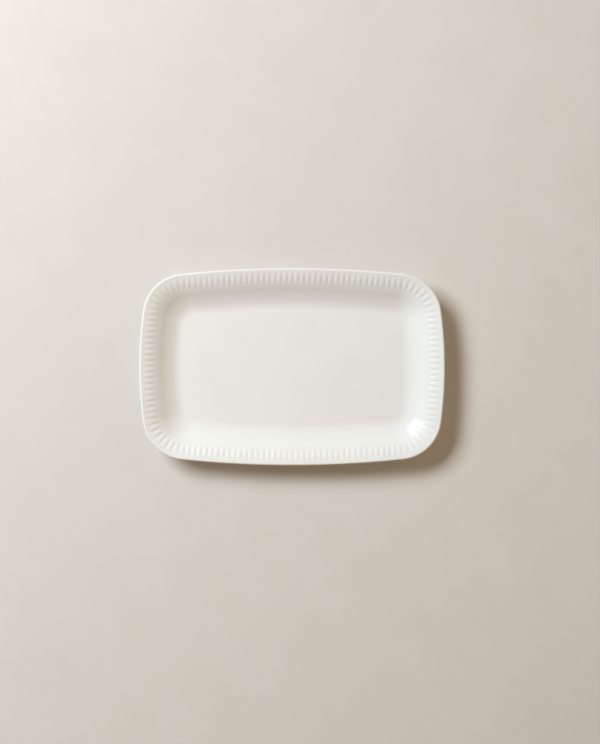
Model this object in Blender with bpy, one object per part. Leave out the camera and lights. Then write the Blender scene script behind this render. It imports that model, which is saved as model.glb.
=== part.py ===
"""China serving platter, modelled at real size in metres with +Z up.

The platter is one fired piece of china.  It has three solids: the pressed body,
the glaze coat that wraps the body from the foot ring over the rim and across
the well, and the glazed panel inside the foot ring.  The foot ring itself is
left bare, and that is what parts the two glazes.

Every solid is a stack of closed rings.  A ring is the platter's outline at some
inset from the rim's outer edge, at some height.  X runs along the length.
"""

from __future__ import annotations

import math
from dataclasses import dataclass, replace
from enum import Enum

import bmesh
import bpy
from mathutils import Vector

# Overall size
LENGTH = 0.330
WIDTH = 0.213
HEIGHT = 0.0256

# Outline seen from above: four bowed sides joined by round corners
LONG_SIDE_RADIUS = 1.145
SHORT_SIDE_RADIUS = 0.453
RIM_CORNER_RADIUS = 0.046
WELL_CORNER_RADIUS = 0.012
FOOT_CORNER_TIGHTENING = 0.5    # corner radius lost per metre of inset inside the well

# Section: a round lip, a falling shoulder, a hollow wall, then a cove into the flat well
WALL_THICKNESS = 0.0048
WALL_TAPER_END = 0.0228         # inset where the wall, thinner at the lip, is full
LIP_RADIUS = 0.0016
WELL_INSET = 0.0449
LIP_SLOPE = math.radians(12.0)
WALL_SLOPE = math.radians(31.0)
COVE_SLOPE = math.radians(20.0)
SHOULDER_RADIUS = 0.067
WALL_RADIUS = 0.069
COVE_RADIUS = 0.029

# Pressed ribs: convex reeds across the shoulder, square to the rim
RIB_COUNT = 143
RIB_START = 0.0044              # inset of the outer rib ends
RIB_END = 0.0174                # inset of the inner rib ends
RIB_HEIGHT = 0.0005             # crest to valley at mid rib
RIB_SHOULDER = 0.22             # half width of a rib's crown, as a share of the pitch
RIB_RINGS = 2                   # ribbed rings between the two rib ends
RIB_SPACING_INSET = 0.0134      # the ribs are equally spaced along this inset
RIB_OFFSET = 0.25               # first valley past the middle of a long side, in pitches

# Foot ring under the well
FOOT_HEIGHT = 0.0052
FOOT_INSET = 0.0470
FOOT_WIDTH = 0.0044
FOOT_DRAFT = 0.0003             # how far each side leans in from top to bottom
FOOT_FILLET = 0.0012
FOOT_EDGE = 0.0004              # edge break either side of the bare land

# Glaze
GLAZE_THICKNESS = 0.0004
GLAZE_CLEARANCE = 0.0003        # gap kept between the glaze and the body
GLAZE_STOP = 0.0008             # the glaze ends this far above the table

# Mesh resolution
LONG_SIDE_STEPS = 3
CORNER_STEPS = 7
SHORT_SIDE_STEPS = 2
LIP_STEPS = 3                   # to the widest point, then again to the crest
SHOULDER_STEPS = 2
WALL_STEPS = 3
COVE_STEPS = 3
FILLET_STEPS = 2

UP = Vector((0.0, 1.0))         # up in the plane of the section
DOWN = Vector((0.0, -1.0))

BISCUIT_COLOUR = (0.78, 0.73, 0.65, 1.0)
GLAZE_COLOUR = (0.84, 0.83, 0.79, 1.0)


@dataclass(frozen=True)
class Quarter:
    """A quarter of the outline: a long side arc, a corner arc and a short side arc."""

    long_radius: float
    corner_radius: float
    short_radius: float
    corner_centre: Vector
    long_angle: float
    short_angle: float

    @property
    def corner_angle(self) -> float:
        """Angle that the corner arc sweeps."""
        return math.pi / 2 - self.long_angle - self.short_angle

    def arc_lengths(self) -> tuple[float, float, float]:
        """Return the lengths of the long side, corner and short side arcs."""
        return (
            self.long_radius * self.long_angle,
            self.corner_radius * self.corner_angle,
            self.short_radius * self.short_angle,
        )

    def point(self, arc: int, share: float) -> Vector:
        """Return the point a share of the way along one arc.

        Args:
            arc: 0 for the long side, 1 for the corner, 2 for the short side.
            share: 0 at the arc's start, 1 at its end.

        Returns:
            The plan position, in the quarter where x and y are positive.
        """
        if arc == 0:
            turn = self.long_angle * share
            centre = Vector((0.0, WIDTH / 2 - LONG_SIDE_RADIUS))
            return centre + self.long_radius * Vector((math.sin(turn), math.cos(turn)))
        if arc == 1:
            turn = self.long_angle + self.corner_angle * share
            return self.corner_centre + self.corner_radius * Vector((math.sin(turn), math.cos(turn)))
        turn = self.short_angle * (1.0 - share)
        centre = Vector((LENGTH / 2 - SHORT_SIDE_RADIUS, 0.0))
        return centre + self.short_radius * Vector((math.cos(turn), math.sin(turn)))


@dataclass(frozen=True)
class SectionArc:
    """One arc of the falling section, given by its radius and its slopes at both ends."""

    radius: float
    start: float
    end: float
    steps: int

    def run(self, slope: float) -> float:
        """Return the inset covered from the arc's start to a slope."""
        return self.radius * abs(math.sin(slope) - math.sin(self.start))

    def drop(self, slope: float) -> float:
        """Return the height lost from the arc's start to a slope."""
        return self.radius * abs(math.cos(slope) - math.cos(self.start))

    def slope_after(self, run: float) -> float:
        """Return the slope where the arc has covered an inset."""
        turn = run / self.radius if self.end > self.start else -run / self.radius
        return math.asin(math.sin(self.start) + turn)

    def slopes(self) -> list[float]:
        """Return the slopes at the arc's steps, leaving out its start."""
        turn = self.end - self.start
        return [self.start + turn * step / self.steps for step in range(1, self.steps + 1)]


SECTION = (
    SectionArc(SHOULDER_RADIUS, LIP_SLOPE, WALL_SLOPE, SHOULDER_STEPS),
    SectionArc(WALL_RADIUS, WALL_SLOPE, COVE_SLOPE, WALL_STEPS),
    SectionArc(COVE_RADIUS, COVE_SLOPE, 0.0, COVE_STEPS),
)


class Ring(Enum):
    """How finely a ring is divided."""

    PLAIN = "plain"
    RIB_END = "rib end"
    RIBBED = "ribbed"


@dataclass(frozen=True)
class Station:
    """A point of the section, with the way out of the china there."""

    inset: float
    height: float
    normal: Vector
    mitre: float = 1.0
    ring: Ring = Ring.PLAIN
    relief: float = 0.0

    def sunk(self, depth: float) -> Station:
        """Return this station moved into the china by a depth."""
        move = self.normal * (depth * self.mitre)
        return replace(self, inset=self.inset - move.x, height=self.height - move.y)


def corner_radius_at(inset: float) -> float:
    """Return the corner radius of the outline at an inset from the rim."""
    if inset <= WELL_INSET:
        return RIM_CORNER_RADIUS - (RIM_CORNER_RADIUS - WELL_CORNER_RADIUS) * inset / WELL_INSET
    return WELL_CORNER_RADIUS - FOOT_CORNER_TIGHTENING * (inset - WELL_INSET)


def quarter_at(inset: float) -> Quarter:
    """Return the quarter outline at an inset from the rim's outer edge."""
    long_radius = LONG_SIDE_RADIUS - inset
    short_radius = SHORT_SIDE_RADIUS - inset
    corner = corner_radius_at(inset)
    long_centre = Vector((0.0, WIDTH / 2 - LONG_SIDE_RADIUS))
    short_centre = Vector((LENGTH / 2 - SHORT_SIDE_RADIUS, 0.0))
    # The corner's centre is where two circles about the side centres cross.
    gap = short_centre - long_centre
    reach_long = long_radius - corner
    reach_short = short_radius - corner
    along = (reach_long**2 - reach_short**2 + gap.length**2) / (2 * gap.length)
    across = math.sqrt(reach_long**2 - along**2)
    direction = gap.normalized()
    centre = long_centre + direction * along + Vector((direction.y, -direction.x)) * across
    to_long = centre - long_centre
    to_short = centre - short_centre
    return Quarter(
        long_radius,
        corner,
        short_radius,
        centre,
        math.atan2(to_long.x, to_long.y),
        math.atan2(to_short.y, to_short.x),
    )


def corner_shares(quarter: Quarter) -> tuple[float, float]:
    """Return the shares of a quarter at which its corner starts and ends.

    The shares are even along the spacing inset. At every other inset a share keeps its
    angle on the side arcs, so the ribs stand square to the sides.
    """
    spacing = quarter_at(RIB_SPACING_INSET)
    total = sum(spacing.arc_lengths())
    long_share = quarter.long_angle * spacing.long_radius / total
    short_share = quarter.short_angle * spacing.short_radius / total
    return long_share, 1.0 - short_share


def outline_point(quarter: Quarter, share: float) -> Vector:
    """Return the plan position a share of the way round the whole outline."""
    index = int(share * 4) % 4
    part = share * 4 - int(share * 4)
    if index % 2:
        part = 1.0 - part
    corner_start, corner_end = corner_shares(quarter)
    if part <= corner_start:
        point = quarter.point(0, part / corner_start)
    elif part <= corner_end:
        point = quarter.point(1, (part - corner_start) / (corner_end - corner_start))
    else:
        point = quarter.point(2, (part - corner_end) / (1.0 - corner_end))
    side_x = 1.0 if index in (0, 1) else -1.0
    side_y = 1.0 if index in (0, 3) else -1.0
    return Vector((point.x * side_x, point.y * side_y))


def columns_of(ring: Ring) -> list[tuple[float, float]]:
    """Return the columns of a ring.

    Args:
        ring: How finely the ring is divided.

    Returns:
        A share of the outline for each column, with its rise: -0.5 in a valley between
        ribs, 0.5 on a rib's crown and 0 where nothing is pressed.
    """
    if ring is Ring.PLAIN:
        return [(share, 0.0) for share in plain_shares()]
    if ring is Ring.RIB_END:
        return [((rib + RIB_OFFSET) / RIB_COUNT, 0.0) for rib in range(RIB_COUNT)]
    columns = []
    for rib in range(RIB_COUNT):
        valley = rib + RIB_OFFSET
        columns.append((valley / RIB_COUNT, -0.5))
        columns.append(((valley + 0.5 - RIB_SHOULDER) / RIB_COUNT, 0.5))
        columns.append(((valley + 0.5 + RIB_SHOULDER) / RIB_COUNT, 0.5))
    return columns


def plain_shares() -> list[float]:
    """Return the shares of the outline where a plain ring has its points."""
    ends = (0.0, *corner_shares(quarter_at(RIB_SPACING_INSET)), 1.0)
    parts = []
    for index, steps in enumerate((LONG_SIDE_STEPS, CORNER_STEPS, SHORT_SIDE_STEPS)):
        sweep = ends[index + 1] - ends[index]
        parts += [ends[index] + sweep * step / steps for step in range(steps)]
    mirrored = [1.0] + parts[:0:-1]
    shares = []
    for index in range(4):
        if index % 2:
            shares += [(index + 1.0 - part) / 4 for part in mirrored]
        else:
            shares += [(index + part) / 4 for part in parts]
    return shares


def rib_insets() -> list[float]:
    """Return the insets of the rib ends and of the ribbed rings between them."""
    spacing = (RIB_END - RIB_START) / (RIB_RINGS + 1)
    return [RIB_START + spacing * ring for ring in range(RIB_RINGS + 2)]


def ring_at(inset: float) -> tuple[Ring, float]:
    """Return the kind of ring at an inset on the food side, and its rib height."""
    share = (inset - RIB_START) / (RIB_END - RIB_START)
    if share < -0.001 or share > 1.001:
        return Ring.PLAIN, 0.0
    if share < 0.001 or share > 0.999:
        return Ring.RIB_END, 0.0
    return Ring.RIBBED, RIB_HEIGHT * math.sin(math.pi * share)


def falling_line(ribbed: bool) -> list[tuple[float, float]]:
    """Return the food side's section from the lip's inner tangent down to the flat well.

    Args:
        ribbed: True for points at the rib ends and the rings between them, in place of
            the plain points there.

    Returns:
        Inset and height pairs.
    """
    inset = LIP_RADIUS * (1.0 + math.sin(LIP_SLOPE))
    height = HEIGHT - LIP_RADIUS * (1.0 - math.cos(LIP_SLOPE))
    # The arcs are laid end to end, then stretched to the well's inset and depth.
    wide = (WELL_INSET - inset) / sum(arc.run(arc.end) for arc in SECTION)
    floor = FOOT_HEIGHT + WALL_THICKNESS
    deep = (height - floor) / sum(arc.drop(arc.end) for arc in SECTION)
    points = [(inset, height)]
    for arc in SECTION:
        start = (inset, height)
        slopes = arc.slopes()
        inset, height = start[0] + arc.run(arc.end) * wide, start[1] - arc.drop(arc.end) * deep
        if ribbed:
            plain = [slope for slope in slopes if not in_ribs(start[0] + arc.run(slope) * wide)]
            within = [rib for rib in rib_insets() if start[0] < rib <= inset]
            pressed = [arc.slope_after((rib - start[0]) / wide) for rib in within]
            slopes = sorted(plain + pressed, key=arc.run)
        for slope in slopes:
            points.append((start[0] + arc.run(slope) * wide, start[1] - arc.drop(slope) * deep))
    return points


def in_ribs(inset: float) -> bool:
    """Say whether an inset on the food side lies between the two rib ends."""
    return RIB_START <= inset <= RIB_END


def as_stations(
    points: list[tuple[float, float]],
    start: Vector | None = None,
    end: Vector | None = None,
) -> list[Station]:
    """Give every point of a section line its way out of the china.

    Args:
        points: Inset and height pairs, walked with the china on the right.
        start: The way out just before the first point, or None where the line stops there.
        end: The way out just after the last point, or None where the line stops there.

    Returns:
        One station for each point.
    """
    normals = []
    for here, there in zip(points, points[1:]):
        step = Vector((there[0] - here[0], there[1] - here[1])).normalized()
        normals.append(Vector((-step.y, step.x)))
    before = [start or normals[0]] + normals
    after = normals + [end or normals[-1]]
    stations = []
    for (inset, height), first, second in zip(points, before, after):
        normal = (first + second).normalized()
        ring, relief = ring_at(inset) if normal.y > 0.0 else (Ring.PLAIN, 0.0)
        stations.append(Station(inset, height, normal, 1.0 / normal.dot(second), ring, relief))
    return stations


def coat_line() -> list[Station]:
    """Return the glazed surface from the foot's outer side, over the lip, to the well."""
    top = as_stations(falling_line(False), Vector((math.sin(LIP_SLOPE), math.cos(LIP_SLOPE))), UP)
    sunk = [station.sunk(thickness_at(station.inset)) for station in top]
    under = [(station.inset, station.height) for station in sunk]
    points = [(FOOT_INSET + FOOT_DRAFT, GLAZE_STOP)]
    points += fillet_line(FOOT_INSET - FOOT_FILLET, 0.0)
    points += under[:0:-1]
    points += lip_line()
    points += falling_line(True)
    return as_stations(points, end=UP)


def thickness_at(inset: float) -> float:
    """Return the wall's thickness under a point of the food side."""
    start = LIP_RADIUS * (1.0 + math.sin(LIP_SLOPE))
    share = min(1.0, (inset - start) / (WALL_TAPER_END - start))
    return 2 * LIP_RADIUS + (WALL_THICKNESS - 2 * LIP_RADIUS) * share


def lip_line() -> list[tuple[float, float]]:
    """Return the round lip, by its widest point and its crest, up to the inner tangent."""
    turns = []
    for start, end in ((LIP_SLOPE - math.pi, -math.pi / 2), (-math.pi / 2, 0.0)):
        turns += [start + (end - start) * step / LIP_STEPS for step in range(LIP_STEPS)]
    turns.append(0.0)
    return [
        (LIP_RADIUS * (1.0 + math.sin(turn)), HEIGHT - LIP_RADIUS * (1.0 - math.cos(turn)))
        for turn in turns
    ]


def base_line() -> list[Station]:
    """Return the glazed surface from the base's middle to the foot's inner side."""
    inner = FOOT_INSET + FOOT_WIDTH
    points = fillet_line(inner + FOOT_FILLET, math.pi / 2)
    points.append((inner - FOOT_DRAFT, GLAZE_STOP))
    return as_stations(points, start=DOWN)


def fillet_line(centre_inset: float, start: float) -> list[tuple[float, float]]:
    """Return the quarter round where a side of the foot meets the base."""
    points = []
    for step in range(FILLET_STEPS + 1):
        turn = start + math.pi / 2 * step / FILLET_STEPS
        points.append((
            centre_inset + FOOT_FILLET * math.cos(turn),
            FOOT_HEIGHT - FOOT_FILLET + FOOT_FILLET * math.sin(turn),
        ))
    return points


def foot_land(inner: Station, outer: Station) -> list[Station]:
    """Return the bare bottom of the foot ring, between the ends of its two sides."""
    points = (
        (inner.inset, FOOT_EDGE),
        (inner.inset - FOOT_EDGE, 0.0),
        (outer.inset + FOOT_EDGE, 0.0),
        (outer.inset, FOOT_EDGE),
    )
    return [Station(inset, height, DOWN) for inset, height in points]


class RingStack:
    """A closed solid skinned over a stack of rings, with a flat cap at each end."""

    def __init__(self) -> None:
        """Start an empty stack."""
        self.vertices: list[tuple[float, float, float]] = []
        self.faces: list[tuple[int, ...]] = []
        self.last_ring: list[int] = []
        self.last_columns: list[tuple[float, float]] = []

    def add_station(self, station: Station) -> None:
        """Add the ring at a station and skin it to the ring before."""
        columns = columns_of(station.ring)
        ring = []
        for share, rise in columns:
            inset = station.inset + station.normal.x * rise * station.relief
            height = station.height + station.normal.y * rise * station.relief
            ring.append(len(self.vertices))
            self.vertices.append((*outline_point(quarter_at(inset), share), height))
        if not self.last_ring:
            self.faces.append(tuple(ring))
        elif len(columns) == len(self.last_columns):
            self.join_alike(ring)
        else:
            self.join_unlike(ring, columns)
        self.last_ring = ring
        self.last_columns = columns

    def join_alike(self, ring: list[int]) -> None:
        """Join two rings that have the same columns, every cell split the same way."""
        below, above = self.last_ring + self.last_ring[:1], ring + ring[:1]
        for index in range(len(ring)):
            self.faces.append((below[index], below[index + 1], above[index + 1]))
            self.faces.append((below[index], above[index + 1], above[index]))

    def join_unlike(self, ring: list[int], columns: list[tuple[float, float]]) -> None:
        """Join two rings with different columns, stepping along the one whose next side is due."""
        lower = [share for share, _ in self.last_columns] + [1.0]
        upper = [share for share, _ in columns] + [1.0]
        below, above = self.last_ring + self.last_ring[:1], ring + ring[:1]
        i = j = 0
        while i + 1 < len(lower) or j + 1 < len(upper):
            due_below = lower[i] + lower[i + 1] if i + 1 < len(lower) else math.inf
            due_above = upper[j] + upper[j + 1] if j + 1 < len(upper) else math.inf
            if due_below <= due_above:
                self.faces.append((below[i], below[i + 1], above[j]))
                i += 1
            else:
                self.faces.append((below[i], above[j + 1], above[j]))
                j += 1

    def build(self, name: str, material: bpy.types.Material) -> bpy.types.Object:
        """Close the stack and make it an object of the scene."""
        self.faces.append(tuple(self.last_ring))
        mesh = bpy.data.meshes.new(name)
        mesh.from_pydata(self.vertices, [], self.faces)
        working = bmesh.new()
        working.from_mesh(mesh)
        bmesh.ops.recalc_face_normals(working, faces=working.faces)
        if working.calc_volume(signed=True) < 0.0:
            bmesh.ops.reverse_faces(working, faces=working.faces)
        working.to_mesh(mesh)
        working.free()
        mesh.materials.append(material)
        part = bpy.data.objects.new(name, mesh)
        bpy.context.scene.collection.objects.link(part)
        return part


def make_material(name: str, colour: tuple[float, ...], roughness: float) -> bpy.types.Material:
    """Return a plain material with a colour and a roughness."""
    material = bpy.data.materials.new(name)
    material.use_nodes = True
    shader = material.node_tree.nodes["Principled BSDF"]
    shader.inputs["Base Color"].default_value = colour
    shader.inputs["Roughness"].default_value = roughness
    return material


def stack(stations: list[Station]) -> RingStack:
    """Return the ring stack through a list of stations."""
    rings = RingStack()
    for station in stations:
        rings.add_station(station)
    return rings


def main() -> None:
    """Build the body and both glazes."""
    for leftover in list(bpy.data.objects):
        bpy.data.objects.remove(leftover, do_unlink=True)

    coat = coat_line()
    base = base_line()
    body_depth = GLAZE_THICKNESS + GLAZE_CLEARANCE
    body_base = [station.sunk(body_depth) for station in base]
    body_coat = [station.sunk(body_depth) for station in coat]
    land = foot_land(body_base[-1], body_coat[0])
    coat_back = [station.sunk(GLAZE_THICKNESS) for station in reversed(coat)]
    base_back = [station.sunk(GLAZE_THICKNESS) for station in reversed(base)]

    biscuit = make_material("bare_biscuit", BISCUIT_COLOUR, 0.85)
    glaze = make_material("clear_china_glaze", GLAZE_COLOUR, 0.08)
    stack(body_base + land + body_coat).build("china_body", biscuit)
    stack(coat_back + coat).build("glaze_coat", glaze)
    stack(base + base_back).build("base_glaze", glaze)


main()
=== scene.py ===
"""Looks of the china serving platter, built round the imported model.

The platter is one fired piece, dressed as three pieces that match the model's
solids: the glaze coat, the body with its bare foot ring, and the glazed base.
"""

import logging
import math
from dataclasses import dataclass, field
from enum import Enum

import bmesh
import bpy
import numpy as np
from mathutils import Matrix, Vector


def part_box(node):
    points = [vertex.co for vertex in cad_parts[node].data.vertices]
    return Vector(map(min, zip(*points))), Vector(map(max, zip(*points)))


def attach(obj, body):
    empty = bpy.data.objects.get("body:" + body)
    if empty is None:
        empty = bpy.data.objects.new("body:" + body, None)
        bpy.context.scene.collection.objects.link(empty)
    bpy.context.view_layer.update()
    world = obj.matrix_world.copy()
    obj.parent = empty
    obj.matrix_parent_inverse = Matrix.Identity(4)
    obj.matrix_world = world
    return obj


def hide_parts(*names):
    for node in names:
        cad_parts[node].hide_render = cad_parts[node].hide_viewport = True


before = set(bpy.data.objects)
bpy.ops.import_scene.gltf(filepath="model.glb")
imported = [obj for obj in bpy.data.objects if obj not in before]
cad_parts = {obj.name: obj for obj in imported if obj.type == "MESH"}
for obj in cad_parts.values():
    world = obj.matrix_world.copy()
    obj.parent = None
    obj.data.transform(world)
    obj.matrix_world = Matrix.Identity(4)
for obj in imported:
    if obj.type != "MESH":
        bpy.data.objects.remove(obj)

LOG = logging.getLogger("china_platter")

# Lengths are in metres, apart from the width of the camera's sensor.
MM = 0.001
# From the rim's outer edge in to the flat well.
WELL_INSET = 44.9 * MM
# The outline is one quarter, mirrored round the four corners.
QUARTERS = 4
# Keeps a point that falls on a quarter's end out of the quarter before.
ROUNDING = 1e-9
# Noise textures seldom leave this range, so it is what is spread over a ramp.
NOISE_LOW, NOISE_HIGH = 0.3, 0.7


class Column(Enum):
    """How many columns a ring has for each pressed rib."""

    FINE = 8
    PLAIN = 2


@dataclass(frozen=True)
class Outline:
    """The platter seen from above: bowed sides joined by round corners.

    Attributes:
        length: Overall length.
        width: Overall width.
        long_side_radius: Radius of the bow of a long side.
        short_side_radius: Radius of the bow of a short side.
        rim_corner: Corner radius at the rim's outer edge.
        well_corner: Corner radius at the flat well's edge.
        well_inset: Inset of the flat well's edge.
        foot_tightening: Corner radius lost for each unit of inset past the well's edge.
        spacing_inset: Inset along which the ribs are equally spaced.
    """

    length: float
    width: float
    long_side_radius: float = 1145 * MM
    short_side_radius: float = 453 * MM
    rim_corner: float = 46 * MM
    well_corner: float = 12 * MM
    well_inset: float = WELL_INSET
    foot_tightening: float = 0.5
    spacing_inset: float = 13.4 * MM

    def corner_radius(self, inset: np.ndarray) -> np.ndarray:
        """Ease the corner radius from the rim's to the well's, and tighten it under the foot.

        Args:
            inset: Distances in from the rim's outer edge.

        Returns:
            The corner radius at each inset.
        """
        share = (self.rim_corner - self.well_corner) / self.well_inset
        inside = self.well_corner - self.foot_tightening * (inset - self.well_inset)
        return np.where(inset <= self.well_inset, self.rim_corner - share * inset, inside)

    def arcs(self, inset: np.ndarray) -> dict[str, np.ndarray]:
        """Work out a quarter's three arcs at each inset.

        Args:
            inset: Distances in from the rim's outer edge.

        Returns:
            Radii, the angle that each side arc spans, and the corner's centre.
        """
        long_radius = self.long_side_radius - inset
        short_radius = self.short_side_radius - inset
        corner = self.corner_radius(inset)
        long_centre = np.array([0.0, self.width / 2 - self.long_side_radius])
        short_centre = np.array([self.length / 2 - self.short_side_radius, 0.0])
        gap = short_centre - long_centre
        span = float(np.hypot(*gap))
        reach_long, reach_short = long_radius - corner, short_radius - corner
        along = (reach_long**2 - reach_short**2 + span**2) / (2 * span)
        across = np.sqrt(reach_long**2 - along**2)
        unit = gap / span
        centre_x = long_centre[0] + unit[0] * along + unit[1] * across
        centre_y = long_centre[1] + unit[1] * along - unit[0] * across
        return {
            "long_radius": long_radius,
            "short_radius": short_radius,
            "corner": corner,
            "centre_x": centre_x,
            "centre_y": centre_y,
            "long_angle": np.arctan2(centre_x, centre_y - long_centre[1]),
            "short_angle": np.arctan2(centre_y, centre_x - short_centre[0]),
        }

    def side_spacing(self) -> tuple[float, float]:
        """Work out how much of a quarter's length each radian of its side arcs takes.

        The share is even at the spacing inset. Every other inset keeps the same
        angles on its sides, so the ribs stand square to them.

        Returns:
            The share for a long side's arc, then the share for a short side's.
        """
        arcs = self.arcs(np.array([self.spacing_inset]))
        sweep = math.pi / 2 - arcs["long_angle"][0] - arcs["short_angle"][0]
        total = (
            arcs["long_radius"][0] * arcs["long_angle"][0]
            + arcs["corner"][0] * sweep
            + arcs["short_radius"][0] * arcs["short_angle"][0]
        )
        return arcs["long_radius"][0] / total, arcs["short_radius"][0] / total

    def points(self, inset: np.ndarray, share: np.ndarray) -> np.ndarray:
        """Place points in plan.

        Args:
            inset: Distance in from the rim's outer edge, one for each point.
            share: How far round the outline each point is, from 0 to 1.

        Returns:
            An array of x and y, one row for each point.
        """
        turn = np.floor(share * QUARTERS + ROUNDING)
        quarter = turn.astype(int) % QUARTERS
        part = np.clip(share * QUARTERS - turn, 0.0, 1.0)
        part = np.where(quarter % 2 == 1, 1.0 - part, part)
        long_spacing, short_spacing = self.side_spacing()
        arcs = self.arcs(inset)
        start = arcs["long_angle"] * long_spacing
        end = 1.0 - arcs["short_angle"] * short_spacing
        sweep = math.pi / 2 - arcs["long_angle"] - arcs["short_angle"]
        on_long = part / long_spacing
        on_corner = arcs["long_angle"] + sweep * (part - start) / (end - start)
        on_short = math.pi / 2 - (1.0 - part) / short_spacing
        which = [part <= start, part <= end]
        angle = np.select(which, [on_long, on_corner], on_short)
        radius = np.select(which, [arcs["long_radius"], arcs["corner"]], arcs["short_radius"])
        zero = np.zeros_like(part)
        base_x = np.select(
            which, [zero, arcs["centre_x"]], zero + self.length / 2 - self.short_side_radius
        )
        base_y = np.select(
            which, [zero + self.width / 2 - self.long_side_radius, arcs["centre_y"]], zero
        )
        side_x = np.where(quarter < 2, 1.0, -1.0)
        side_y = np.where((quarter == 0) | (quarter == 3), 1.0, -1.0)
        x = (base_x + radius * np.sin(angle)) * side_x
        y = (base_y + radius * np.cos(angle)) * side_y
        return np.column_stack([x, y])


@dataclass(frozen=True)
class RibBand:
    """Convex reeds pressed across the shoulder, square to the rim.

    Attributes:
        count: How many ribs go round the platter.
        start: Inset of their outer ends.
        end: Inset of their inner ends.
        height: Crown to valley at the middle of a rib.
        roundness: Power by which a crown falls to its valleys.
        end_taper: Power by which a rib draws in to its ends; a higher one is blunter.
        phase: How far the first valley is past the middle of a long side, in ribs.
        least_half_width: Keeps a rib's very ends from having no width at all.
    """

    count: int = 143
    start: float = 4.4 * MM
    end: float = 17.4 * MM
    height: float = 0.5 * MM
    roundness: float = 2.0
    end_taper: float = 3.0
    phase: float = 0.25
    least_half_width: float = 1e-6

    def share(self, inset: np.ndarray) -> np.ndarray:
        """Return how far along the ribs each inset lies, from 0 to 1."""
        return np.clip((inset - self.start) / (self.end - self.start), 0.0, 1.0)

    def relief(self, inset: np.ndarray, share: np.ndarray) -> np.ndarray:
        """Work out how far the pressed surface stands over the plain one.

        Args:
            inset: Distances in from the rim's outer edge.
            share: How far round the outline each point is.

        Returns:
            Heights, negative in the valleys.
        """
        along = self.share(inset)
        swell = np.sin(math.pi * along)
        off_crown = np.abs((share * self.count + 0.5 + self.phase) % 1.0 - 0.5)
        taper = (1.0 - np.abs(2 * along - 1.0) ** self.end_taper) ** 0.5
        half_width = 0.5 * taper + self.least_half_width
        crown = np.clip(1.0 - (off_crown / half_width) ** self.roundness, 0.0, 1.0)
        return self.height * swell * (crown - 0.5)


@dataclass(frozen=True)
class SectionArc:
    """One arc of the falling section, with its slopes at both ends in degrees."""

    radius: float
    start: float
    end: float

    def run(self, slope: np.ndarray) -> np.ndarray:
        """Return the inset covered from the arc's start to each slope."""
        return self.radius * np.abs(np.sin(slope) - math.sin(math.radians(self.start)))

    def drop(self, slope: np.ndarray) -> np.ndarray:
        """Return the height lost from the arc's start to each slope."""
        return self.radius * np.abs(np.cos(slope) - math.cos(math.radians(self.start)))


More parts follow.
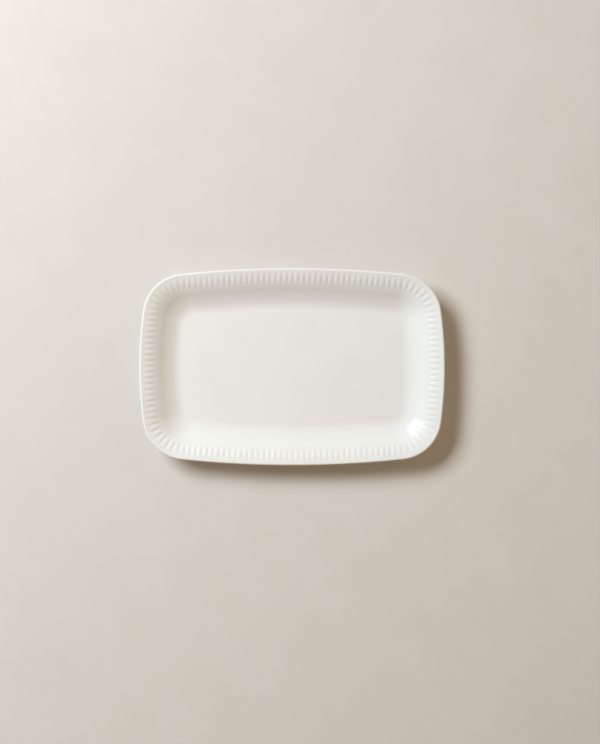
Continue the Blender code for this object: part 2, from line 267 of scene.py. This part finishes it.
@dataclass(frozen=True)
class Section:
    """The cut through the platter from its foot, over its lip, to the flat well.

    Attributes:
        height: Height of the rim over the foot's land.
        wall: Full thickness of the wall.
        taper_end: Inset where the wall, thinner at the lip, is full.
        lip: Radius of the round lip.
        lip_slope: Slope where the lip meets the food side, in degrees.
        arcs: The food side's arcs, stretched a little to fit the height and the inset.
        well_inset: Inset of the flat well's edge.
        foot_height: Height of the base over the foot's land.
        foot_inset: Inset of the foot's outer side.
        foot_width: Width of the foot.
        foot_draft: How far a side of the foot leans in, down to its land.
        foot_fillet: Radius between the foot and the base.
        foot_edge: Radius of the edges of the foot's land.
        glaze: Thickness of the glaze.
        clearance: Gap between the glaze and the body.
        glaze_stop: Height at which the glaze stops on the sides of the foot.
        top_spacing: Largest inset between rings on the food side.
        under_spacing: Largest inset between rings on the plain underside.
        lip_steps: Facets round the lip.
        fillet_steps: Facets round a fillet of the foot.
        edge_steps: Facets round an edge of the foot's land.
    """

    height: float
    wall: float = 4.8 * MM
    taper_end: float = 22.8 * MM
    lip: float = 1.6 * MM
    lip_slope: float = 12.0
    arcs: tuple[SectionArc, ...] = (
        SectionArc(67 * MM, 12.0, 31.0),
        SectionArc(69 * MM, 31.0, 20.0),
        SectionArc(29 * MM, 20.0, 0.0),
    )
    well_inset: float = WELL_INSET
    foot_height: float = 5.2 * MM
    foot_inset: float = 47.0 * MM
    foot_width: float = 4.4 * MM
    foot_draft: float = 0.3 * MM
    foot_fillet: float = 1.2 * MM
    foot_edge: float = 0.4 * MM
    glaze: float = 0.4 * MM
    clearance: float = 0.3 * MM
    glaze_stop: float = 0.8 * MM
    top_spacing: float = 0.9 * MM
    under_spacing: float = 3 * MM
    lip_steps: int = 20
    fillet_steps: int = 5
    edge_steps: int = 3

    def falling_line(self, spacing: float) -> np.ndarray:
        """Draw the food side from the lip's inner tangent to the flat well.

        Args:
            spacing: Largest inset between two points.

        Returns:
            Insets and heights, one row for each point.
        """
        lip, slope = self.lip, math.radians(self.lip_slope)
        inset = lip + lip * math.sin(slope)
        height = self.height - lip + lip * math.cos(slope)
        runs = [float(arc.run(np.radians(arc.end))) for arc in self.arcs]
        drops = [float(arc.drop(np.radians(arc.end))) for arc in self.arcs]
        wide = (self.well_inset - inset) / sum(runs)
        deep = (height - self.foot_height - self.wall) / sum(drops)
        rows = [np.array([[inset, height]])]
        for arc, run, drop in zip(self.arcs, runs, drops):
            steps = max(2, math.ceil(run * wide / spacing))
            slopes = np.radians(np.linspace(arc.start, arc.end, steps + 1)[1:])
            rows.append(
                np.column_stack([inset + arc.run(slopes) * wide, height - arc.drop(slopes) * deep])
            )
            inset, height = inset + run * wide, height - drop * deep
        return np.vstack(rows)

    def thickness(self, inset: np.ndarray) -> np.ndarray:
        """Work out the wall's thickness, which is less towards the lip.

        Args:
            inset: Distances in from the rim's outer edge.

        Returns:
            The thickness under each inset.
        """
        start = self.lip * (1.0 + math.sin(math.radians(self.lip_slope)))
        share = np.clip((inset - start) / (self.taper_end - start), 0.0, 1.0)
        return 2 * self.lip + (self.wall - 2 * self.lip) * share

    def lip_line(self) -> np.ndarray:
        """Draw the round lip from the underside up to its inner tangent.

        Returns:
            Insets and heights, one row for each point, without the tangent's own.
        """
        lip, slope = self.lip, math.radians(self.lip_slope)
        turns = np.linspace(slope - math.pi, slope, self.lip_steps + 1)[:-1]
        return np.column_stack(
            [lip + lip * np.sin(turns), self.height - lip + lip * np.cos(turns)]
        )

    def fillet_line(self, centre: float, start: float) -> np.ndarray:
        """Draw the quarter round between a side of the foot and the base.

        Args:
            centre: Inset of the quarter round's centre.
            start: Angle that it starts at.

        Returns:
            Insets and heights, one row for each point.
        """
        turns = start + np.linspace(0.0, math.pi / 2, self.fillet_steps + 1)
        return np.column_stack([
            centre + self.foot_fillet * np.cos(turns),
            self.foot_height - self.foot_fillet + self.foot_fillet * np.sin(turns),
        ])

    def coat_line(self) -> np.ndarray:
        """Draw the glazed surface from the foot's outer side, over the lip, to the flat well.

        Returns:
            Insets and heights, one row for each point.
        """
        slope = math.radians(self.lip_slope)
        lip_way = (math.sin(slope), math.cos(slope))
        top = as_line(self.falling_line(self.under_spacing), lip_way, (0.0, 1.0))
        under = sunk(top, self.thickness(top[:, 0]))[:, :2]
        return np.vstack([
            [[self.foot_inset + self.foot_draft, self.glaze_stop]],
            self.fillet_line(self.foot_inset - self.foot_fillet, 0.0),
            under[:0:-1],
            self.lip_line(),
            self.falling_line(self.top_spacing),
        ])

    def base_line(self) -> np.ndarray:
        """Draw the glazed surface from the flat base to the foot's inner side.

        Returns:
            Insets and heights, one row for each point.
        """
        inner = self.foot_inset + self.foot_width
        return np.vstack([
            self.fillet_line(inner + self.foot_fillet, math.pi / 2),
            [[inner - self.foot_draft, self.glaze_stop]],
        ])


def as_line(
    points: np.ndarray,
    start: tuple[float, float] | None = None,
    end: tuple[float, float] | None = None,
) -> np.ndarray:
    """Give every point of a section line its way out of the china.

    Args:
        points: Insets and heights, walked with the china on the right.
        start: The way out just before the first point, or None where the line stops.
        end: The way out just after the last point, or None where the line stops.

    Returns:
        Rows of inset, height, the way out and the mitre that keeps an offset true.
    """
    steps = np.diff(points, axis=0)
    steps /= np.linalg.norm(steps, axis=1)[:, None]
    normals = np.column_stack([-steps[:, 1], steps[:, 0]])
    before = np.vstack([normals[:1] if start is None else [start], normals])
    after = np.vstack([normals, normals[-1:] if end is None else [end]])
    mean = before + after
    mean /= np.linalg.norm(mean, axis=1)[:, None]
    mitre = 1.0 / (mean * after).sum(axis=1)
    return np.column_stack([points, mean, mitre])


def sunk(line: np.ndarray, depth: float | np.ndarray) -> np.ndarray:
    """Move a section line into the china.

    Args:
        line: Rows as as_line gives them.
        depth: How deep, for the whole line or for each of its points.

    Returns:
        The same rows with new insets and heights.
    """
    moved = line.copy()
    moved[:, :2] -= line[:, 2:4] * (line[:, 4] * depth)[:, None]
    return moved


@dataclass
class Shell:
    """Rings of points skinned into one closed mesh.

    Attributes:
        outline: The outline that the rings follow.
        ribs: The ribs that are pressed into the rings on the food side.
        vertices: One array of points for each ring.
        faces: The faces so far.
        pooling_and_shade: Glaze depth and painted shade at each point, from 0 on a crown to 1 in a
            valley.
        last: The last ring's first vertex and its number of vertices.
    """

    outline: Outline
    ribs: RibBand
    vertices: list[np.ndarray] = field(default_factory=list)
    faces: list[tuple[int, ...]] = field(default_factory=list)
    pooling_and_shade: list[np.ndarray] = field(default_factory=list)
    last: tuple[int, int] = (0, 0)

    def add_ring(self, row: np.ndarray, column: Column) -> None:
        """Add one ring and skin it to the ring before. The first ring is closed by a face.

        Args:
            row: Inset, height, way out and mitre of the ring.
            column: How finely the ring is divided.
        """
        count = self.ribs.count * column.value
        share = np.arange(count) / count
        inset = np.full(count, row[0])
        upward = row[3] > 0.0
        rise = self.ribs.relief(inset, share) if upward else np.zeros(count)
        plan = self.outline.points(inset + rise * row[2], share)
        first = sum(len(ring) for ring in self.vertices)
        self.vertices.append(np.column_stack([plan, row[1] + rise * row[3]]))
        # 0 on a crown and 1 in a valley: this colours the valleys darker as painted shade and the
        #                                 crowns lighter, beside the glaze lying deeper in the
        #                                 valleys.
        self.pooling_and_shade.append(0.5 - rise / self.ribs.height)
        if not self.faces:
            self.faces.append(tuple(range(first, first + count)))
        else:
            self.join(first, count)
        self.last = (first, count)

    def join(self, first: int, count: int) -> None:
        """Skin the last ring to a new one, fanning where their columns differ.

        Args:
            first: The new ring's first vertex.
            count: How many vertices the new ring has.
        """
        below, below_count = self.last
        if below_count == count:
            for index in range(count):
                after = (index + 1) % count
                self.faces.append((below + index, below + after, first + after, first + index))
            return
        finer, coarser = (first, below) if count > below_count else (below, first)
        many, few = max(count, below_count), min(count, below_count)
        ratio = many // few
        flip = finer == below
        for index in range(few):
            here, there = coarser + index, coarser + (index + 1) % few
            fan = [finer + (index * ratio + step) % many for step in range(ratio + 1)]
            middle = ratio // 2
            cells = [(here, fan[step + 1], fan[step]) for step in range(middle)]
            cells.append((here, there, fan[middle]))
            cells += [(there, fan[step + 1], fan[step]) for step in range(middle, ratio)]
            self.faces += [cell[::-1] for cell in cells] if flip else cells

    def build(self, name: str) -> bpy.types.Object:
        """Close the shell with a face over the last ring and make it an object.

        Args:
            name: The piece's name.

        Returns:
            The smooth-shaded piece, with its glaze depth and painted shade as an attribute of its
            points.
        """
        first, count = self.last
        self.faces.append(tuple(range(first, first + count)))
        mesh = bpy.data.meshes.new(name)
        points = np.vstack(self.vertices)
        mesh.from_pydata(points.tolist(), [], self.faces)
        # Glaze depth and painted shade, read by the glaze's colour.
        layer = mesh.attributes.new("glaze_pooling_and_painted_shade", "FLOAT", "POINT")
        layer.data.foreach_set("value", np.concatenate(self.pooling_and_shade).astype(np.float32))
        face_out(mesh)
        mesh.shade_smooth()
        piece = bpy.data.objects.new(name, mesh)
        bpy.context.scene.collection.objects.link(piece)
        return piece


def face_out(mesh: bpy.types.Mesh) -> None:
    """Turn a closed mesh's faces outwards.

    Args:
        mesh: The mesh, which is changed in place.
    """
    working = bmesh.new()
    working.from_mesh(mesh)
    bmesh.ops.recalc_face_normals(working, faces=working.faces)
    if working.calc_volume(signed=True) < 0.0:
        bmesh.ops.reverse_faces(working, faces=working.faces)
    working.to_mesh(mesh)
    working.free()
    mesh.update()


def linear(hex_colour: str) -> tuple[float, float, float, float]:
    """Turn an sRGB colour to linear by the sRGB standard's own curve.

    Args:
        hex_colour: The colour as #rrggbb.

    Returns:
        Linear red, green and blue, with full alpha.
    """
    parts = [int(hex_colour[index:index + 2], 16) / 255 for index in (1, 3, 5)]
    turned = [part / 12.92 if part <= 0.04045 else ((part + 0.055) / 1.055) ** 2.4 for part in parts]
    return (*turned, 1.0)


def add_node(
    tree: bpy.types.NodeTree,
    kind: str,
    settings: dict[str, object] | None = None,
    inputs: dict[str | int, object] | None = None,
) -> bpy.types.Node:
    """Add a shader node.

    Args:
        tree: The node tree.
        kind: Blender's name for the node, without the ShaderNode in front.
        settings: The node's own properties.
        inputs: Socket values, or the sockets that feed them.

    Returns:
        The new node.
    """
    node = tree.nodes.new("ShaderNode" + kind)
    for key, value in (settings or {}).items():
        setattr(node, key, value)
    for key, value in (inputs or {}).items():
        if isinstance(value, bpy.types.NodeSocket):
            tree.links.new(value, node.inputs[key])
        else:
            node.inputs[key].default_value = value
    return node


def new_material(name: str) -> tuple[bpy.types.Material, bpy.types.NodeTree, bpy.types.Node]:
    """Make a material.

    Args:
        name: The material's name.

    Returns:
        The material, its node tree and its Principled shader.
    """
    material = bpy.data.materials.new(name)
    material.use_nodes = True
    return material, material.node_tree, material.node_tree.nodes["Principled BSDF"]


def ramp(node: bpy.types.Node, stops: list[tuple[float, tuple[float, float, float, float]]]) -> None:
    """Set a Color Ramp's stops.

    Args:
        node: The Color Ramp.
        stops: Positions from 0 to 1, in order, each with its linear colour.
    """
    elements = node.color_ramp.elements
    while len(elements) > 1:
        elements.remove(elements[-1])
    elements[0].position, elements[0].color = stops[0]
    for position, colour in stops[1:]:
        elements.new(position).color = colour


@dataclass(frozen=True)
class ClearChinaGlaze:
    """Clear glaze fired over warm white china.

    The dipped glaze lies shallow over the ribs' crowns and deep in their valleys.
    The crowns are coloured whitest and the valleys warmer and darker, partly for
    that glaze and partly as painted light and shade. It is smooth and mirrors a
    window sharply. Its specular level is far below the usual one, because it
    would otherwise mirror the even fill as a veil that no room gives.

    Attributes:
        name: The material's name.
        crown_glaze_and_light: Colour of the crowns, where the glaze lies shallow, lightened partly
            as painted light.
        usual: Colour on the plain surfaces.
        valley_glaze_and_shade: Colour of the valleys, where the glaze lies deep, darkened partly as
            painted shade.
        speck: Colour of an iron speck.
        roughness: Mean roughness of the gloss.
        sheen_drift: Share by which the roughness drifts either way.
        ior: Index of refraction of a glaze.
        specular: Specular level of the gloss.
        ripple_size: Width of the orange peel's ripples.
        ripple_height: Height of the orange peel's ripples.
        cloud_size: Width of the patches where the glaze is a little thicker.
        cloud_depth: Share of the crown-to-valley value, glaze depth and painted shade, by which
            those patches drift either way.
        speck_spacing: Distance between specks.
        speck_core: Radius of a speck's full colour.
        speck_edge: Radius where a speck has faded out.
        speck_strength: How much a speck hides the china.
    """

    name: str = "clear_glaze_over_white_china"
    crown_glaze_and_light: str = "#eeedea"
    usual: str = "#ecebe6"
    valley_glaze_and_shade: str = "#e6e5dd"
    speck: str = "#a89c86"
    roughness: float = 0.05
    sheen_drift: float = 0.15
    ior: float = 1.5
    specular: float = 0.08
    ripple_size: float = 3.2 * MM
    ripple_height: float = 0.0035 * MM
    cloud_size: float = 38 * MM
    cloud_depth: float = 0.12
    speck_spacing: float = 21 * MM
    speck_core: float = 0.126 * MM
    speck_edge: float = 0.294 * MM
    speck_strength: float = 0.35

    def material(self) -> bpy.types.Material:
        """Make the glaze's material.

        Returns:
            The material.
        """
        material, tree, shader = new_material(self.name)
        place = add_node(tree, "TexCoord").outputs["Object"]
        # Painted shade: the valleys between the ribs are coloured darker and the crowns lighter,
        # partly for the glaze lying deeper in the valleys.
        pooling_and_shade_node = add_node(tree, "Attribute", {"attribute_name": "glaze_pooling_and_painted_shade"})
        cloud = add_node(tree, "TexNoise", inputs={
            "Vector": place, "Scale": 1 / self.cloud_size, "Detail": 3.0, "Roughness": 0.5,
        })
        drift = add_node(tree, "MapRange", inputs={
            "Value": cloud.outputs["Fac"], "From Min": NOISE_LOW, "From Max": NOISE_HIGH,
            "To Min": -self.cloud_depth, "To Max": self.cloud_depth,
        })
        depth = add_node(tree, "Math", {"operation": "ADD"}, {
            0: pooling_and_shade_node.outputs["Fac"], 1: drift.outputs["Result"],
        })
        tint = add_node(tree, "ValToRGB", inputs={"Fac": depth.outputs["Value"]})
        # Plain surfaces lie half way between a crown and a valley. The crowns are coloured lighter
        # and the valleys darker, partly as painted light and shade.
        ramp(tint, [
            (0.05, linear(self.crown_glaze_and_light)), (0.5, linear(self.usual)), (0.95, linear(self.valley_glaze_and_shade)),
        ])
        # Iron specks are a fraction of a millimetre across and a few to a hand's breadth.
        cells = add_node(tree, "TexVoronoi", inputs={
            "Vector": place, "Scale": 1 / self.speck_spacing, "Randomness": 1.0,
        })
        dot = add_node(tree, "MapRange", {"interpolation_type": "SMOOTHSTEP"}, {
            "Value": cells.outputs["Distance"],
            "From Min": self.speck_core / self.speck_spacing,
            "From Max": self.speck_edge / self.speck_spacing,
            "To Min": self.speck_strength, "To Max": 0.0,
        })
        colour = add_node(tree, "Mix", {"data_type": "RGBA"}, {
            "Factor": dot.outputs["Result"],
            "A": tint.outputs["Color"],
            "B": linear(self.speck),
        })
        # The glaze sets with a faint orange peel, a few thousandths of a millimetre high.
        ripple = add_node(tree, "TexNoise", inputs={
            "Vector": place, "Scale": 1 / self.ripple_size, "Detail": 1.0, "Roughness": 0.4,
        })
        bump = add_node(tree, "Bump", inputs={
            "Height": ripple.outputs["Fac"], "Strength": 1.0, "Distance": self.ripple_height,
        })
        sheen = add_node(tree, "MapRange", inputs={
            "Value": cloud.outputs["Fac"], "From Min": NOISE_LOW, "From Max": NOISE_HIGH,
            "To Min": self.roughness * (1.0 - self.sheen_drift),
            "To Max": self.roughness * (1.0 + self.sheen_drift),
        })
        tree.links.new(colour.outputs["Result"], shader.inputs["Base Color"])
        tree.links.new(bump.outputs["Normal"], shader.inputs["Normal"])
        tree.links.new(sheen.outputs["Result"], shader.inputs["Roughness"])
        shader.inputs["Specular IOR Level"].default_value = self.specular
        shader.inputs["IOR"].default_value = self.ior
        return material


@dataclass(frozen=True)
class BareBiscuit:
    """Fired china with no glaze, as it is left on the foot ring.

    It is matt and slightly grainy, and use has rubbed it a little darker in
    patches. Real grain is finer than this and is drawn coarser so that it shows.

    Attributes:
        name: The material's name.
        light: Colour of clean biscuit.
        dark: Colour of rubbed biscuit.
        dark_below: Blend of grain and wear at which the biscuit is darkest.
        light_above: Blend of grain and wear at which the biscuit is lightest.
        grain: Width of the grain.
        grain_depth: Depth of the grain.
        wear: Width of the rubbed patches.
        roughness: Roughness of the matt surface.
        specular: Specular level of the matt surface.
    """

    name: str = "bare_fired_china_biscuit"
    light: str = "#e6e0d3"
    dark: str = "#cfc6b4"
    dark_below: float = 0.12
    light_above: float = 0.38
    grain: float = 0.35 * MM
    grain_depth: float = 0.03 * MM
    wear: float = 9 * MM
    roughness: float = 0.8
    specular: float = 0.3

    def material(self) -> bpy.types.Material:
        """Make the bare china's material.

        Returns:
            The material.
        """
        material, tree, shader = new_material(self.name)
        place = add_node(tree, "TexCoord").outputs["Object"]
        grain = add_node(tree, "TexNoise", inputs={
            "Vector": place, "Scale": 1 / self.grain, "Detail": 4.0, "Roughness": 0.6,
        })
        wear = add_node(tree, "TexNoise", inputs={
            "Vector": place, "Scale": 1 / self.wear, "Detail": 3.0, "Roughness": 0.6,
        })
        blend = add_node(tree, "Math", {"operation": "MULTIPLY"}, {
            0: grain.outputs["Fac"], 1: wear.outputs["Fac"],
        })
        tint = add_node(tree, "ValToRGB", inputs={"Fac": blend.outputs["Value"]})
        ramp(tint, [(self.dark_below, linear(self.dark)), (self.light_above, linear(self.light))])
        bump = add_node(tree, "Bump", inputs={
            "Height": grain.outputs["Fac"], "Strength": 0.5, "Distance": self.grain_depth,
        })
        tree.links.new(tint.outputs["Color"], shader.inputs["Base Color"])
        tree.links.new(bump.outputs["Normal"], shader.inputs["Normal"])
        shader.inputs["Roughness"].default_value = self.roughness
        shader.inputs["Specular IOR Level"].default_value = self.specular
        return material


@dataclass(frozen=True)
class PaintedBoard:
    """Matt stone-coloured paint, brushed flat on a board.

    It is pale and warm, with a faint mottle where the coats overlap and a fine
    tooth that keeps it from shining.

    Attributes:
        name: The material's name.
        light: Colour of the thicker paint.
        dark: Colour of the thinner paint.
        mottle: Width of the mottle's patches.
        tooth: Width of the tooth.
        tooth_depth: Depth of the tooth.
        roughness: Roughness of the matt paint.
        specular: Specular level of the matt paint.
    """

    name: str = "pale_stone_paint_on_board"
    light: str = "#ded9d1"
    dark: str = "#dbd5cc"
    mottle: float = 60 * MM
    tooth: float = 1.2 * MM
    tooth_depth: float = 0.05 * MM
    roughness: float = 0.85
    specular: float = 0.15

    def material(self) -> bpy.types.Material:
        """Make the board's material.

        Returns:
            The material.
        """
        material, tree, shader = new_material(self.name)
        place = add_node(tree, "TexCoord").outputs["Object"]
        mottle = add_node(tree, "TexNoise", inputs={
            "Vector": place, "Scale": 1 / self.mottle, "Detail": 6.0, "Roughness": 0.62,
        })
        tint = add_node(tree, "ValToRGB", inputs={"Fac": mottle.outputs["Fac"]})
        ramp(tint, [(NOISE_LOW, linear(self.dark)), (NOISE_HIGH, linear(self.light))])
        tooth = add_node(tree, "TexNoise", inputs={
            "Vector": place, "Scale": 1 / self.tooth, "Detail": 3.0, "Roughness": 0.6,
        })
        bump = add_node(tree, "Bump", inputs={
            "Height": tooth.outputs["Fac"], "Strength": 0.25, "Distance": self.tooth_depth,
        })
        tree.links.new(tint.outputs["Color"], shader.inputs["Base Color"])
        tree.links.new(bump.outputs["Normal"], shader.inputs["Normal"])
        shader.inputs["Roughness"].default_value = self.roughness
        shader.inputs["Specular IOR Level"].default_value = self.specular
        return material


@dataclass
class Platter:
    """The fired platter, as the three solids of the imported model.

    Attributes:
        outline: The platter seen from above.
        section: The cut through it.
        ribs: Its pressed ribs.
        fine_margin: How far past the ribs' ends the rings are still fine.
    """

    outline: Outline
    section: Section
    ribs: RibBand
    fine_margin: float = 1 * MM

    def columns(self, row: np.ndarray) -> Column:
        """Choose how finely a ring is divided: fine across the ribs and plain elsewhere.

        Args:
            row: Inset, height, way out and mitre of the ring.

        Returns:
            The ring's columns.
        """
        first, last = self.ribs.start - self.fine_margin, self.ribs.end + self.fine_margin
        upward = row[3] > 0.0
        return Column.FINE if upward and first < row[0] < last else Column.PLAIN

    def stack(self, rows: list[np.ndarray]) -> Shell:
        """Skin a shell through rings.

        Args:
            rows: Inset, height, way out and mitre of each ring, in order.

        Returns:
            The shell, still open at its last ring.
        """
        shell = Shell(self.outline, self.ribs)
        for row in rows:
            shell.add_ring(row, self.columns(row))
        return shell

    def glaze_coat(self) -> bpy.types.Object:
        """Build the glaze from the foot's outer side, over the lip and across the well.

        Returns:
            The piece.
        """
        front = as_line(self.section.coat_line(), end=(0.0, 1.0))
        back = sunk(front, self.section.glaze)
        return self.stack([*back[::-1], *front]).build("glaze_coat_fired")

    def base_glaze(self) -> bpy.types.Object:
        """Build the glazed panel inside the foot ring.

        Returns:
            The piece.
        """
        front = as_line(self.section.base_line(), start=(0.0, -1.0))
        back = sunk(front, self.section.glaze)
        return self.stack([*front, *back[::-1]]).build("base_glaze_fired")

    def china_body(self) -> bpy.types.Object:
        """Build the pressed body with its bare foot ring.

        Returns:
            The piece.
        """
        section = self.section
        depth = section.glaze + section.clearance
        base = sunk(as_line(section.base_line(), start=(0.0, -1.0)), depth)
        coat = sunk(as_line(section.coat_line(), end=(0.0, 1.0)), depth)
        turns = np.linspace(0.0, math.pi / 2, section.edge_steps + 1)
        edge = section.foot_edge
        inner = np.column_stack([
            base[-1, 0] - edge + edge * np.cos(turns), edge - edge * np.sin(turns),
        ])
        outer = np.column_stack([
            coat[0, 0] + edge - edge * np.cos(turns), edge - edge * np.sin(turns),
        ])[::-1]
        land = as_line(np.vstack([inner, outer]))
        return self.stack([*base, *land, *coat]).build("china_body_fired")


@dataclass(frozen=True)
class Lamp:
    """A soft rectangular light, placed by its direction from the platter.

    Attributes:
        name: The light's name.
        azimuth: Direction in plan, in degrees from +X towards +Y.
        elevation: Angle over the board, in degrees.
        distance: Distance from the platter.
        width: Width of the light.
        height: Height of the light.
        power: Power in watts.
        colour: Colour of the light, in sRGB.
    """

    name: str
    azimuth: float
    elevation: float
    distance: float
    width: float
    height: float
    power: float
    colour: str

    def build(self) -> bpy.types.Object:
        """Make the light and point it at the platter.

        Returns:
            The light.
        """
        data = bpy.data.lights.new(self.name, "AREA")
        data.shape = "RECTANGLE"
        data.size, data.size_y = self.width, self.height
        data.energy = self.power
        data.color = linear(self.colour)[:3]
        lamp = bpy.data.objects.new(self.name, data)
        bpy.context.scene.collection.objects.link(lamp)
        azimuth, elevation = math.radians(self.azimuth), math.radians(self.elevation)
        out = Vector((
            math.cos(azimuth) * math.cos(elevation),
            math.sin(azimuth) * math.cos(elevation),
            math.sin(elevation),
        ))
        lamp.location = out * self.distance
        lamp.rotation_mode = "QUATERNION"
        lamp.rotation_quaternion = (-out).to_track_quat("-Z", "Y")
        return lamp


@dataclass
class Studio:
    """The board, the light and the camera straight above.

    Attributes:
        board_size: Side of the square board.
        camera_height: Height of the camera over the board.
        camera_x: How far the camera is along +X from the platter's middle.
        camera_y: How far the camera is along +Y from the platter's middle.
        view_length: Length that the view's width takes in at the rim.
        sensor: Width of the camera's sensor, in millimetres.
        sky_colour: Colour of the fill, in sRGB.
        sky_strength: Strength of the fill.
        sky_lean: The way that the fill is stronger from, as a share of its strength.
        key: The window, on the upper left.
    """

    board_size: float = 6.0
    camera_height: float = 1.6
    camera_x: float = 8.45 * MM
    camera_y: float = -5.65 * MM
    view_length: float = 802.5 * MM
    sensor: float = 36.0
    sky_colour: str = "#ffe4c1"
    sky_strength: float = 0.29
    sky_lean: tuple[float, float, float] = (1.0, -0.25, 0.0)
    key: Lamp = Lamp(
        name="window_key",
        azimuth=143.0,
        elevation=39.8,
        distance=2.7,
        width=1.50,
        height=0.93,
        power=90.0,
        colour="#eef7ff",
    )

    def board(self) -> bpy.types.Object:
        """Make the board that the platter stands on.

        Returns:
            The board, which isn't part of the object.
        """
        half = self.board_size / 2
        mesh = bpy.data.meshes.new("painted_board")
        corners = [(-half, -half, 0), (half, -half, 0), (half, half, 0), (-half, half, 0)]
        mesh.from_pydata(corners, [], [(0, 1, 2, 3)])
        board = bpy.data.objects.new("painted_board", mesh)
        bpy.context.scene.collection.objects.link(board)
        mesh.materials.append(PaintedBoard().material())
        return board

    def sky(self) -> None:
        """Set a soft warm fill, stronger from the walls that face the window."""
        world = bpy.data.worlds.new("room_fill")
        bpy.context.scene.world = world
        world.use_nodes = True
        tree = world.node_tree
        way = add_node(tree, "TexCoord").outputs["Generated"]
        lean = add_node(tree, "VectorMath", {"operation": "DOT_PRODUCT"}, {
            0: way, 1: self.sky_lean,
        })
        strength = add_node(tree, "Math", {"operation": "MULTIPLY_ADD"}, {
            0: lean.outputs["Value"], 1: self.sky_strength, 2: self.sky_strength,
        })
        background = tree.nodes["Background"]
        background.inputs["Color"].default_value = linear(self.sky_colour)
        tree.links.new(strength.outputs["Value"], background.inputs["Strength"])

    def camera(self, rim_height: float) -> bpy.types.Object:
        """Make the camera, framed at the height of the rim.

        Args:
            rim_height: Height of the rim over the board.

        Returns:
            The camera, which is made the scene's own.
        """
        data = bpy.data.cameras.new("overhead_camera")
        data.sensor_width = self.sensor
        data.lens = self.sensor * (self.camera_height - rim_height) / self.view_length
        camera = bpy.data.objects.new("overhead_camera", data)
        camera.location = (self.camera_x, self.camera_y, self.camera_height)
        bpy.context.scene.collection.objects.link(camera)
        bpy.context.scene.camera = camera
        return camera


def main() -> None:
    """Build and dress the platter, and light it."""
    logging.basicConfig(level=logging.INFO, format="%(name)s: %(message)s")
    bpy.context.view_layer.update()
    coat_low, coat_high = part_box("glaze_coat")
    outline = Outline(coat_high[0] - coat_low[0], coat_high[1] - coat_low[1])
    platter = Platter(outline, Section(coat_high[2]), RibBand())
    glaze = ClearChinaGlaze().material()
    biscuit = BareBiscuit().material()
    for build, node, slot, material in (
        (platter.glaze_coat, "glaze_coat", "glaze", glaze),
        (platter.china_body, "china_body", "biscuit", biscuit),
        (platter.base_glaze, "base_glaze", "glaze", glaze),
    ):
        piece = build()
        piece.data.materials.append(material)
        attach(piece, "root")
        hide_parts(node)
        LOG.info("%s stands for %s, %d faces", piece.name, node, len(piece.data.polygons))

    studio = Studio()
    studio.board()
    studio.sky()
    studio.key.build()
    studio.camera(coat_high[2])
    bpy.context.scene.view_settings.view_transform = "Standard"


if __name__ == "__main__":
    main()
